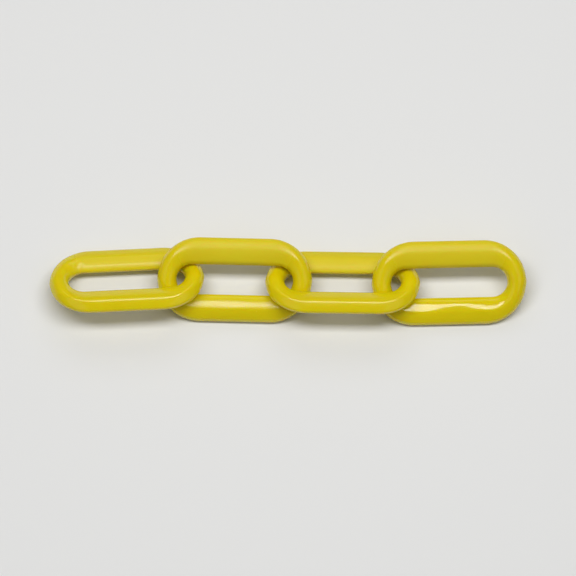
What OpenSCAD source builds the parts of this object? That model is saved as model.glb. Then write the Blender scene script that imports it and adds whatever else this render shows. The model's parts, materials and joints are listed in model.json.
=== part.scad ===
// Plastic barrier chain: four moulded links, laid out loose on a flat surface.
//
// Every link is the same closed ring. Its two end bars are round and its two side
// bars are wider and flatter, so that the section changes smoothly round each bend.
// Frame: +X along the chain, +Z up, millimetres. The origin is on the surface,
// under the middle of the chain's bounding box.

/* [Link] */
// Length of a link over its ends
link_length = 51; // [50:0.5:52]
// Width of a link over its side bars
link_width = 28; // [27.5:0.1:28.5]
// Diameter of the round end bars
end_bar = 6.3; // [5.8:0.1:6.5]
// Width of a side bar, in the plane of its link
side_bar_width = 9; // [8.4:0.1:9.1]
// Thickness of a side bar, across the plane of its link
side_bar_thickness = 5.2; // [4.6:0.1:5.3]

/* [Lie of the chain] */
// Tilt of the first and third links, whose front bars are raised
front_up_tilt = 26.9; // [26.5:0.1:28]
// Tilt of the second and fourth links, whose back bars are raised
back_up_tilt = 28.6; // [28.2:0.1:30]
// Distance from each link's centre to the next one's, along the chain
link_steps = [35.7, 35.7, 35.2]; // [35:0.1:36]
// How far each link's centre lies to the front or the back of the first one's
side_shifts = [0, 0, -0.9, -1]; // [-1.2:0.1:0.2]
// Turn of each link about the vertical
turns = [2.9, -1.4, -0.9, 1.3]; // [-3:0.1:3]

/* [Smoothness] */
// Sections round each bend
bend_steps = 30; // [12:2:36]
// Points round each section
section_points = 24; // [12:4:28]

/* [Hidden] */

plastic = [0.93, 0.78, 0.1];

slot_length = link_length - 2 * end_bar;
slot_width = link_width - 2 * side_bar_width;

// Centres of the arcs that end the outer outline and the slot
outer_arc_x = (link_length - link_width) / 2;
slot_arc_x = (slot_length - slot_width) / 2;

// Directions, from the link's middle, of the sections round both bends. Two sections
// share each of the directions 90 and 270, with a straight side bar between them.
bend_angles = [for (i = [0:bend_steps]) -90 + 180 * i / bend_steps];
section_angles = concat(bend_angles, [for (a = bend_angles) a + 180]);
section_ends = [for (i = [0:2 * bend_steps + 1]) i <= bend_steps ? 1 : -1];

// A point on an arc of radius r, whose centre is at x on the +X or the -X side
function arc_point(x, r, angle, end) = [end * x + r * cos(angle), r * sin(angle)];

// One oval section, from the slot's edge to the outer edge, as seen in direction angle
function section(angle, end) =
    let (inner = arc_point(slot_arc_x, slot_width / 2, angle, end),
         outer = arc_point(outer_arc_x, link_width / 2, angle, end),
         middle = (inner + outer) / 2,
         reach = (outer - inner) / 2,
         roundness = pow(cos(angle), 2),
         thickness = side_bar_thickness + (end_bar - side_bar_thickness) * roundness)
    [for (j = [0:section_points - 1])
        let (t = 360 * j / section_points)
        [middle.x + reach.x * cos(t), middle.y + reach.y * cos(t), thickness / 2 * sin(t)]];

link_points = [for (i = [0:len(section_angles) - 1])
    each section(section_angles[i], section_ends[i])];

// Two triangles for each four-sided patch between one section and the next
link_faces = [for (i = [0:len(section_angles) - 1], j = [0:section_points - 1], half = [0, 1])
    let (this = i * section_points,
         next = (i + 1) % len(section_angles) * section_points,
         k = (j + 1) % section_points)
    half == 0 ? [this + j, this + k, next + k] : [this + j, next + k, next + j]];

function turned_x(p, a) = [p.x, p.y * cos(a) - p.z * sin(a), p.y * sin(a) + p.z * cos(a)];
function turned_z(p, a) = [p.x * cos(a) - p.y * sin(a), p.x * sin(a) + p.y * cos(a), p.z];

// The tilt of link n (0 to 3), and how high its centre lies when its lower bar rests
function tilt(n) = n % 2 == 0 ? -front_up_tilt : back_up_tilt;
tilted_points = [for (n = [0:3]) [for (p = link_points) turned_x(p, tilt(n))]];
rest_heights = [for (points = tilted_points) -min([for (p = points) p.z])];

// Where the middle of link n goes before the chain is centred on the origin
function step_sum(n) = n == 0 ? 0 : link_steps[n - 1] + step_sum(n - 1);
loose_centres = [for (n = [0:3]) [step_sum(n), side_shifts[n], rest_heights[n]]];

// The chain's box on the surface, and with it the shift that centres the chain
loose_points = [for (n = [0:3], p = tilted_points[n]) turned_z(p, turns[n]) + loose_centres[n]];
xs = [for (p = loose_points) p.x];
ys = [for (p = loose_points) p.y];
box_middle = [(min(xs) + max(xs)) / 2, (min(ys) + max(ys)) / 2, 0];
centres = [for (c = loose_centres) c - box_middle];

// Link n in its place on the surface
module chain_link(n) {
    color(plastic)
        translate(centres[n])
            rotate([tilt(n), 0, turns[n]])
                polyhedron(points = link_points, faces = link_faces, convexity = 4);
}

// Left end link, back bar down
module link_1() {
    chain_link(0);
}

// Second link, front bar down
module link_2() {
    chain_link(1);
}

// Third link, back bar down
module link_3() {
    chain_link(2);
}

// Right end link, front bar down
module link_4() {
    chain_link(3);
}

link_1();
link_2();
link_3();
link_4();
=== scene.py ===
"""Plastic barrier chain: the looks of its four moulded links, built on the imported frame.

Each link is swept again at moulding detail, round its own CAD solid's centre and directions:
the moulded faces of the side bars, the round end bars, the parting ridge, the end crests, the
gate mark, and the swellings and sinks.
"""
import json
import math

import bpy
import numpy as np
from mathutils import Matrix, Vector


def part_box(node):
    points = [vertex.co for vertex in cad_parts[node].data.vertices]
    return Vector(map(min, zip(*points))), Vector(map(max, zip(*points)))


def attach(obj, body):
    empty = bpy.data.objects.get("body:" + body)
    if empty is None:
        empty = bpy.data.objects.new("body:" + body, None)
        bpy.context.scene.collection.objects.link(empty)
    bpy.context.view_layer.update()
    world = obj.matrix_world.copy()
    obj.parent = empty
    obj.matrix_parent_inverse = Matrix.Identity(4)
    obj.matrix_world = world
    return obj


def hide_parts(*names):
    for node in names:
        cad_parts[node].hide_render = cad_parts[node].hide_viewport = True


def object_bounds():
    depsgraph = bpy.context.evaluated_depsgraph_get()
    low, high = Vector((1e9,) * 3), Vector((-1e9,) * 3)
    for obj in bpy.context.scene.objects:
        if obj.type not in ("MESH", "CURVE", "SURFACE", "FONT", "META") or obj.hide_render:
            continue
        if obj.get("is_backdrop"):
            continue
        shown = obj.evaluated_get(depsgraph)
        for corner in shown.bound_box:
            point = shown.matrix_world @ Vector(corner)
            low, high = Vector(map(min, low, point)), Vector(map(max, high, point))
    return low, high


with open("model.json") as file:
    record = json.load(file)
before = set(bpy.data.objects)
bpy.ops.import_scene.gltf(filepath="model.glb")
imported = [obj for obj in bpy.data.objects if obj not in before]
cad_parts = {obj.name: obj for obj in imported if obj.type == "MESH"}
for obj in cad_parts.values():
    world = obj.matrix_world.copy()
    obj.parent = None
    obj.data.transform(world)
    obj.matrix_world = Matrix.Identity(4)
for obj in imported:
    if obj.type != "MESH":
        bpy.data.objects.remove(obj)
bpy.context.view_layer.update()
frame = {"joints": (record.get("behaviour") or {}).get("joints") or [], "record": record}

MM = 0.001
LINKS = ["link_1", "link_2", "link_3", "link_4"]

# The link's own sizes, as in the CAD model
LINK_LENGTH = 51 * MM
LINK_WIDTH = 28 * MM
END_BAR = 6.3 * MM
SIDE_BAR_WIDTH = 9 * MM
SIDE_BAR_THICKNESS = 5.2 * MM

SLOT_LENGTH = LINK_LENGTH - 2 * END_BAR
SLOT_WIDTH = LINK_WIDTH - 2 * SIDE_BAR_WIDTH
OUTER_ARC_X = (LINK_LENGTH - LINK_WIDTH) / 2
SLOT_ARC_X = (SLOT_LENGTH - SLOT_WIDTH) / 2
BAR_MIDDLE = (LINK_WIDTH - SIDE_BAR_WIDTH) / 2

# Sections round each bend and along each side bar, and points round a section
BEND_STEPS = 72
STRAIGHT_STEPS = 56
SECTION_POINTS = 96

# The flats of a side bar's upper face: the way each one faces, in degrees from straight up
# towards the outer edge, how flat it is, and over how many degrees. The corner is how softly
# the flats meet, so a low one gives sharp crests.
LOW_FLATS = [(66, 3.1, 13.5), (15, 10, 7.5), (-24, 8.9, 7.4), (-47, 4.8, 12.5)]
LOW_CORNER = 0.8
RAISED_BACK_FLATS = [(64, 4, 10), (24, 5, 9), (-9, 12, 7), (-58, 3, 14)]
RAISED_BACK_CORNER = 0.9
RAISED_FRONT_FLATS = [(53, 24, 4), (66, 1.2, 12), (-14, 13, 7), (-57, 2.5, 13)]
RAISED_FRONT_CORNER = 0.85
# Height of a raised front bar's crest, as a share of the height of the CAD's oval
RAISED_FRONT_CREST = 1.04

# Step between the facings at which a face is worked out, in degrees
FACING_STEP = 0.25
# How closely the section's points lie: everywhere, and in a narrow band at both edges (radians)
PLAIN_DENSITY = 1.5
EDGE_DENSITY = 9
EDGE_BAND = 0.12

# Parting ridge round the outer edge, and how much of it is left round the slot
RIDGE_HEIGHT = 0.04 * MM
RIDGE_SPREAD = 0.16 * MM
SLOT_RIDGE_SHARE = 0.5

# Low crest across the outside of each end bar, where the mould's halves meet
TIP_HEIGHT = 0.16 * MM
TIP_SPREAD = 1.4 * MM

# Gate mark, half-way along one side bar, and the share of its bump left by the snip
GATE_HEIGHT = 0.28 * MM
GATE_SPREAD = 0.7 * MM
GATE_CUT = 0.6
# Where the gate mark is: on the outer edge of the back bar, or under it
EDGE_GATE = (0, LINK_WIDTH / 2, 0)
UNDER_GATE = (0, BAR_MIDDLE, -SIDE_BAR_THICKNESS / 2)
GATES = {"link_1": EDGE_GATE, "link_2": UNDER_GATE, "link_3": EDGE_GATE, "link_4": UNDER_GATE}

# Swellings on each link's bars, in millimetres: side (1 back, -1 front), place along the bar,
# length, place across the bar (+ outwards), width, and rise. The first two on link_1 are pips.
SWELLINGS = {
    "link_1": [(1, -14.9, 0.8, -2.1, 0.8, 0.34), (1, -17.4, 0.7, -3.4, 0.7, 0.28),
               (1, -2, 11, -3.2, 0.35, 0.05), (1, -4, 9, -2.0, 0.4, 0.045),
               (1, 0, 10, -0.7, 0.4, 0.04), (1, -3, 8, 0.5, 0.35, 0.03),
               (-1, -9, 6, 1.9, 1.6, 0.02)],
    "link_2": [(-1, -3, 11, -1.65, 1.7, -0.12), (-1, 7, 4, -1.2, 1.6, 0.03),
               (1, 3, 9, 2.0, 2.0, -0.04)],
    "link_3": [(1, -6, 5, 1.0, 2.0, 0.04), (1, 6, 4, -0.8, 2.0, 0.04),
               (-1, 7, 8, 2.0, 1.6, 0.02), (1, 0, 9, -2.6, 0.5, 0.02)],
    "link_4": [(-1, 2.5, 6, -3.0, 1.3, 0.18), (-1, 12.5, 3.5, -0.4, 1.2, 0.12),
               (-1, -9.5, 5.5, -1.65, 1.7, -0.20)],
}
# Height above the link's middle plane at which a swelling has its whole rise
SWELLING_FADE = 1 * MM

# How dull each link's front and back side bars are, from 0 to 1, and how mottled
DULLNESS = {"link_1": (0.05, 0.55), "link_2": (0.22, 1.0), "link_3": (0.2, 0.95), "link_4": (0.0, 0.9)}
MOTTLING = {"link_1": (0.1, 0.4), "link_2": (1.0, 0.2), "link_3": (0.1, 0.3), "link_4": (0.1, 0.15)}

# Pigment, where it is deeper and where it is paler
DEEP_YELLOW = (0.71, 0.572, 0.001, 1)
PALE_YELLOW = (0.75, 0.62, 0.003, 1)
# Each link takes its streaks and swirls this far from the last one's, so that no two are alike
TEXTURE_STEP = 0.1

FLOOR_HALF = 3.0
FLOOR_COLOUR = (0.80, 0.80, 0.79, 1)
WORLD_COLOUR = (1, 1, 1, 1)
WORLD_STRENGTH = 0.11

# Soft boxes: azimuth and elevation in degrees, distance, width, depth, and radiance
SOFTBOXES = {
    "key": (180, 88, 0.9, 1.1, 0.22, 9.0),
    "back": (180, 44, 1.2, 1.2, 0.5, 1.0),
    "left": (-58, 46, 1.0, 0.7, 0.6, 0.4),
    "right": (58, 46, 1.0, 0.7, 0.6, 0.4),
}

CAMERA_ELEVATION = 70.6
CAMERA_DISTANCE = 2.1
CAMERA_LENS = 395.5
CAMERA_SENSOR = 36
CAMERA_TARGET = Vector((0, 0.00016, 0))


def link_directions():
    """Each link's name, and its centre and own directions as a matrix, read from the frame."""
    mounts = {m["name"]: m for m in frame["record"]["mounts"]}
    joints = frame["joints"]
    right_ends = [j["pos_m"] for j in joints] + [mounts["eye_right"]["pos_m"]]
    normals = [mounts["eye_left"]["axis"]] + [j["axis"] for j in joints]
    for name, right_end, normal in zip(LINKS, right_ends, normals):
        low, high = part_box(name)
        centre = (low + high) / 2
        along = (Vector(right_end) - centre).normalized()
        across = Vector(normal).cross(along).normalized()
        up = along.cross(across)
        turn = Matrix((along, across, up)).transposed().to_4x4()
        yield name, Matrix.Translation(centre) @ turn


def bell(distance, spread):
    """A smooth bump: 1 at no distance, fading to 0 over about twice the spread."""
    return np.exp(-((distance / spread) ** 2))


def bar_face(flats, corner):
    """One face of a side bar, from the outer edge to the inner one, by the way it faces.

    Returns the directions, the two coordinates from -1 to 1, and the radius of the curve.
    """
    facing = np.radians(np.arange(0, 180 + FACING_STEP, FACING_STEP))
    lean = 90 - np.degrees(facing)
    radius = corner + sum(f * np.exp(-(((lean - a) / s) ** 2) / 2) for a, f, s in flats)
    outer = facing <= math.pi / 2
    rise = (radius * np.cos(facing))[outer].sum()
    fall = -(radius * np.cos(facing))[~outer].sum()
    radius[~outer] *= rise / fall
    out = -np.cumsum(radius * np.sin(facing))
    up = np.cumsum(radius * np.cos(facing))
    out -= (out[0] + out[-1]) / 2
    up[[0, -1]] = 0
    return facing, out / out[0], up / up.max(), radius / radius.mean()


def face_directions():
    """Directions over one face of a section, close together on the flats and at the ridges."""
    facing, _, _, low_radius = bar_face(LOW_FLATS, LOW_CORNER)
    raised_radius = bar_face(RAISED_FRONT_FLATS, RAISED_FRONT_CORNER)[3]
    edge = bell(facing, EDGE_BAND) + bell(math.pi - facing, EDGE_BAND)
    density = np.cumsum(low_radius + raised_radius + PLAIN_DENSITY + EDGE_DENSITY * edge)
    density = (density - density[0]) / (density[-1] - density[0])
    return np.interp(np.linspace(0, 1, SECTION_POINTS // 2 + 1), density, facing)


def side_bar_section(flats, corner, crest=1.0):
    """The two coordinates round a side bar's section: moulded flats on top, a plain oval below."""
    directions = face_directions()
    facing, out, up, _ = bar_face(flats, corner)
    top_out = np.interp(directions, facing, out)
    top_up = crest * np.interp(directions, facing, up)
    oval = np.arctan2(SIDE_BAR_THICKNESS * np.sin(directions), SIDE_BAR_WIDTH * np.cos(directions))
    below = oval[-2:0:-1]
    return np.concatenate([top_out, np.cos(below)]), np.concatenate([top_up, -np.sin(below)])


def stations():
    """Round the link: the slot's edge, the outer edge, how round the bar is, and its side."""
    bend = np.linspace(-math.pi / 2, math.pi / 2, BEND_STEPS + 1)
    inner, outer, roundness, is_back = [], [], [], []
    for end in (1, -1):
        for angle in bend:
            x, y = end * math.cos(angle), end * math.sin(angle)
            inner.append((end * SLOT_ARC_X + x * SLOT_WIDTH / 2, y * SLOT_WIDTH / 2))
            outer.append((end * OUTER_ARC_X + x * LINK_WIDTH / 2, y * LINK_WIDTH / 2))
            roundness.append(math.cos(angle) ** 2)
            is_back.append(y >= 0)
        for i in range(1, STRAIGHT_STEPS):
            x = end * (1 - 2 * i / STRAIGHT_STEPS)
            inner.append((x * SLOT_ARC_X, end * SLOT_WIDTH / 2))
            outer.append((x * OUTER_ARC_X, end * LINK_WIDTH / 2))
            roundness.append(0.0)
            is_back.append(end > 0)
    return np.array(inner), np.array(outer), np.array(roundness), np.array(is_back)


def link_surface(front_raised):
    """One link's surface, before its ridges and swellings.

    Returns its points [section, point round it, xyz], how round the bar is at each point, and
    how far each point faces away from the slot, from -1 to 1.
    """
    top = face_directions()
    angles = np.concatenate([top, 2 * math.pi - top[-2:0:-1]])
    low_bar = side_bar_section(LOW_FLATS, LOW_CORNER)
    if front_raised:
        front = side_bar_section(RAISED_FRONT_FLATS, RAISED_FRONT_CORNER, RAISED_FRONT_CREST)
        back = low_bar
    else:
        front = low_bar
        back = side_bar_section(RAISED_BACK_FLATS, RAISED_BACK_CORNER)
    inner, outer, roundness, is_back = stations()
    middle, reach = (inner + outer) / 2, (outer - inner) / 2
    thick = SIDE_BAR_THICKNESS + (END_BAR - SIDE_BAR_THICKNESS) * roundness
    r = roundness[:, None]
    round_share = r**2
    out = np.where(is_back[:, None], back[0], front[0])
    up = np.where(is_back[:, None], back[1], front[1])
    out = (1 - round_share) * out + round_share * np.cos(angles)
    up = (1 - round_share) * up + round_share * np.sin(angles)
    points = np.empty((len(r), len(angles), 3))
    points[..., :2] = middle[:, None] + reach[:, None] * out[..., None]
    points[..., 2] = thick[:, None] / 2 * up
    return points, np.repeat(r, len(angles), axis=1), np.cos(angles)


def surface_normals(points):
    """Outward normals of the closed sweep, from its neighbours both ways."""
    along = np.roll(points, -1, 0) - np.roll(points, 1, 0)
    around = np.roll(points, -1, 1) - np.roll(points, 1, 1)
    normal = np.cross(along, around)
    return normal / np.linalg.norm(normal, axis=2, keepdims=True)


def ridges(points, roundness, facing_out):
    """Height of the parting ridge round the outer edge and the slot, and of the end crests."""
    y, z = points[..., 1], points[..., 2]
    fine = RIDGE_HEIGHT * bell(z, RIDGE_SPREAD)
    tip = TIP_HEIGHT * bell(y, TIP_SPREAD) * roundness * np.clip(facing_out, 0, 1)
    return np.where(facing_out > 0, fine, SLOT_RIDGE_SHARE * fine * (1 - roundness)) + tip


def gate(points, spot):
    """Height of the gate mark, a bump snipped off flat at its top, round a spot on the link."""
    bump = bell(np.linalg.norm(points - np.array(spot), axis=2), GATE_SPREAD)
    return GATE_HEIGHT * np.minimum(bump, GATE_CUT) / GATE_CUT


def swellings(points, roundness, spots):
    """Height of the pips, draw lines, slow swellings and sinks on the side bars' upper faces."""
    x, y, z = np.moveaxis(points, 2, 0)
    across = np.abs(y) - BAR_MIDDLE
    height = np.zeros_like(x)
    for side, middle, length, shift, width, rise in spots:
        on_bar = (np.sign(y) == side) * (1 - roundness) ** 2 * np.clip(z / SWELLING_FADE, 0, 1)
        shape = bell(x - middle * MM, length * MM) * bell(across - shift * MM, width * MM)
        height += on_bar * rise * MM * shape
    return height


def closed_sweep_faces(rings, points):
    """Four-sided faces between each ring of points and the next, wound to face outwards."""
    i, j = np.meshgrid(np.arange(rings), np.arange(points), indexing="ij")
    i2, j2 = (i + 1) % rings, (j + 1) % points
    quads = np.stack([i * points + j, i2 * points + j, i2 * points + j2, i * points + j2], 2)
    return quads.reshape(-1, 4)


def keep(mesh, name, values):
    """Stores a number for each point of the mesh, for the material to read."""
    mesh.attributes.new(name, "FLOAT", "POINT").data.foreach_set("value", values.ravel())


def build_link(name, place):
    """One link's mesh in the row frame, with its own coordinates kept for the material."""
    front_raised = place.to_3x3().col[2].y > 0
    points, roundness, facing_out = link_surface(front_raised)
    rings, count = points.shape[:2]
    height = ridges(points, roundness, facing_out)
    height += gate(points, GATES[name])
    height += swellings(points, roundness, SWELLINGS[name])
    own = points + surface_normals(points) * height[..., None]
    own = own.reshape(-1, 3)
    turn = np.array(place)
    world = own @ turn[:3, :3].T + turn[:3, 3]
    mesh = bpy.data.meshes.new(name + "_moulded")
    mesh.from_pydata(world.tolist(), [], closed_sweep_faces(rings, count).tolist())
    mesh.polygons.foreach_set("use_smooth", [True] * len(mesh.polygons))
    own_place = mesh.attributes.new("own_place", "FLOAT_VECTOR", "POINT")
    texture_shift = [0, 0, LINKS.index(name) * TEXTURE_STEP]
    own_place.data.foreach_set("vector", (own + texture_shift).ravel())
    straight = (1 - roundness) ** 2
    is_back = (points[..., 1] > 0).astype(int)
    keep(mesh, "straight", straight)
    keep(mesh, "dullness", straight * np.array(DULLNESS[name])[is_back])
    keep(mesh, "mottling", straight * np.array(MOTTLING[name])[is_back])
    mesh.update()
    piece = bpy.data.objects.new(name + "_moulded", mesh)
    bpy.context.scene.collection.objects.link(piece)
    return piece


def yellow_plastic():
    """Glossy polyethylene, coloured through, with draw streaks along the bars and light wear."""
    material = bpy.data.materials.new("yellow_plastic")
    material.use_nodes = True
    nodes, links = material.node_tree.nodes, material.node_tree.links
    shader = nodes["Principled BSDF"]
    shader.inputs["IOR"].default_value = 1.52
    shader.inputs["Specular IOR Level"].default_value = 0.4
    shader.inputs["Subsurface Weight"].default_value = 0.4
    shader.inputs["Subsurface Radius"].default_value = (1.0, 0.4, 0.05)
    shader.inputs["Subsurface Scale"].default_value = 3.0 * MM

    def stored(name, output="Fac"):
        node = nodes.new("ShaderNodeAttribute")
        node.attribute_name = name
        return node.outputs[output]

    place = stored("own_place", "Vector")

    def noise(scale, detail, stretch=(1, 1, 1)):
        mapping = nodes.new("ShaderNodeMapping")
        mapping.inputs["Scale"].default_value = stretch
        links.new(place, mapping.inputs["Vector"])
        texture = nodes.new("ShaderNodeTexNoise")
        texture.inputs["Scale"].default_value = scale
        texture.inputs["Detail"].default_value = detail
        links.new(mapping.outputs["Vector"], texture.inputs["Vector"])
        return texture.outputs["Fac"]

    def between(fac, low, high, to_low, to_high):
        node = nodes.new("ShaderNodeMapRange")
        node.inputs["From Min"].default_value = low
        node.inputs["From Max"].default_value = high
        node.inputs["To Min"].default_value = to_low
        node.inputs["To Max"].default_value = to_high
        links.new(fac, node.inputs["Value"])
        return node.outputs["Result"]

    def maths(operation, a, b):
        node = nodes.new("ShaderNodeMath")
        node.operation = operation
        for socket, value in zip(node.inputs, (a, b)):
            if isinstance(value, (int, float)):
                socket.default_value = value
            else:
                links.new(value, socket)
        return node.outputs["Value"]

    # Colour: slow swirls of pigment, a little deeper or paler
    swirl = nodes.new("ShaderNodeMix")
    swirl.data_type = "RGBA"
    swirl.inputs["A"].default_value = DEEP_YELLOW
    swirl.inputs["B"].default_value = PALE_YELLOW
    links.new(noise(scale=90, detail=3), swirl.inputs["Factor"])
    links.new(swirl.outputs["Result"], shader.inputs["Base Color"])

    # Roughness: cloudy patches, dull bars, fine scuffs, and streaks along the dull bars
    streak = maths("MULTIPLY", noise(scale=1, detail=2, stretch=(60, 1500, 1500)), stored("straight"))
    streak = maths("MULTIPLY", streak, stored("dullness"))
    cloud = between(noise(scale=260, detail=4), 0.3, 0.7, 0.07, 0.13)
    dull = maths("MULTIPLY", stored("dullness"), 0.36)
    scuff = between(noise(scale=900, detail=6, stretch=(0.5, 1, 1)), 0.58, 0.72, 0.0, 0.08)
    rough = maths("ADD", maths("ADD", cloud, dull), scuff)
    rough = maths("ADD", rough, maths("MULTIPLY", streak, 0.2))
    links.new(rough, shader.inputs["Roughness"])

    # Relief: streaks, mottling, then a very fine orange peel
    mottle = maths("MULTIPLY", noise(scale=1500, detail=3), stored("mottling"))
    peel = maths("MULTIPLY", noise(scale=1400, detail=2), 0.15)
    relief = maths("ADD", maths("MULTIPLY", streak, 0.6), maths("MULTIPLY", mottle, 4.0))
    relief = maths("ADD", relief, peel)
    bump = nodes.new("ShaderNodeBump")
    bump.inputs["Distance"].default_value = 0.012 * MM
    bump.inputs["Strength"].default_value = 1.0
    links.new(relief, bump.inputs["Height"])
    links.new(bump.outputs["Normal"], shader.inputs["Normal"])
    return material


def floor_sheet(height):
    """A plain pale flat sheet that the chain lies on."""
    mesh = bpy.data.meshes.new("floor")
    half = FLOOR_HALF
    corners = [(-half, -half), (half, -half), (half, half), (-half, half)]
    mesh.from_pydata([(x, y, height) for x, y in corners], [], [(0, 1, 2, 3)])
    sheet = bpy.data.objects.new("floor", mesh)
    bpy.context.scene.collection.objects.link(sheet)
    material = bpy.data.materials.new("pale_floor")
    material.use_nodes = True
    shader = material.node_tree.nodes["Principled BSDF"]
    shader.inputs["Base Color"].default_value = FLOOR_COLOUR
    shader.inputs["Roughness"].default_value = 0.75
    mesh.materials.append(material)
    sheet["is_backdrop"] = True


def aim(thing, target, azimuth, elevation, distance):
    """Puts a lamp or a camera round the target, facing it. Azimuth 0 is in front, 90 at the right."""
    a, e = math.radians(azimuth), math.radians(elevation)
    back = Vector((math.sin(a) * math.cos(e), -math.cos(a) * math.cos(e), math.sin(e)))
    thing.location = target + back * distance
    thing.rotation_euler = (-back).to_track_quat("-Z", "Y").to_euler()
    bpy.context.scene.collection.objects.link(thing)


def softbox(name, azimuth, elevation, distance, width, depth, radiance):
    """A soft box aimed at the origin."""
    data = bpy.data.lights.new(name, "AREA")
    data.shape = "RECTANGLE"
    data.size, data.size_y = width, depth
    data.energy = radiance * math.pi * width * depth
    lamp = bpy.data.objects.new(name, data)
    aim(lamp, Vector((0, 0, 0)), azimuth, elevation, distance)


def camera():
    """The scene's camera, in front of the chain and above it."""
    data = bpy.data.cameras.new("camera")
    data.lens = CAMERA_LENS
    data.sensor_width = CAMERA_SENSOR
    shot = bpy.data.objects.new("camera", data)
    aim(shot, CAMERA_TARGET, 0, CAMERA_ELEVATION, CAMERA_DISTANCE)
    bpy.context.scene.camera = shot


def studio_world():
    """Even white light from all round."""
    world = bpy.data.worlds.new("studio")
    world.use_nodes = True
    background = world.node_tree.nodes["Background"]
    background.inputs["Color"].default_value = WORLD_COLOUR
    background.inputs["Strength"].default_value = WORLD_STRENGTH
    bpy.context.scene.world = world


plastic = yellow_plastic()
for link_name, link_place in link_directions():
    link = build_link(link_name, link_place)
    link.data.materials.append(plastic)
    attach(link, link_name)
    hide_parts(link_name)

floor_sheet(min(0.0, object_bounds()[0].z))
for box_name, box_settings in SOFTBOXES.items():
    softbox(box_name, *box_settings)
camera()
studio_world()
bpy.context.scene.view_settings.view_transform = "Standard"
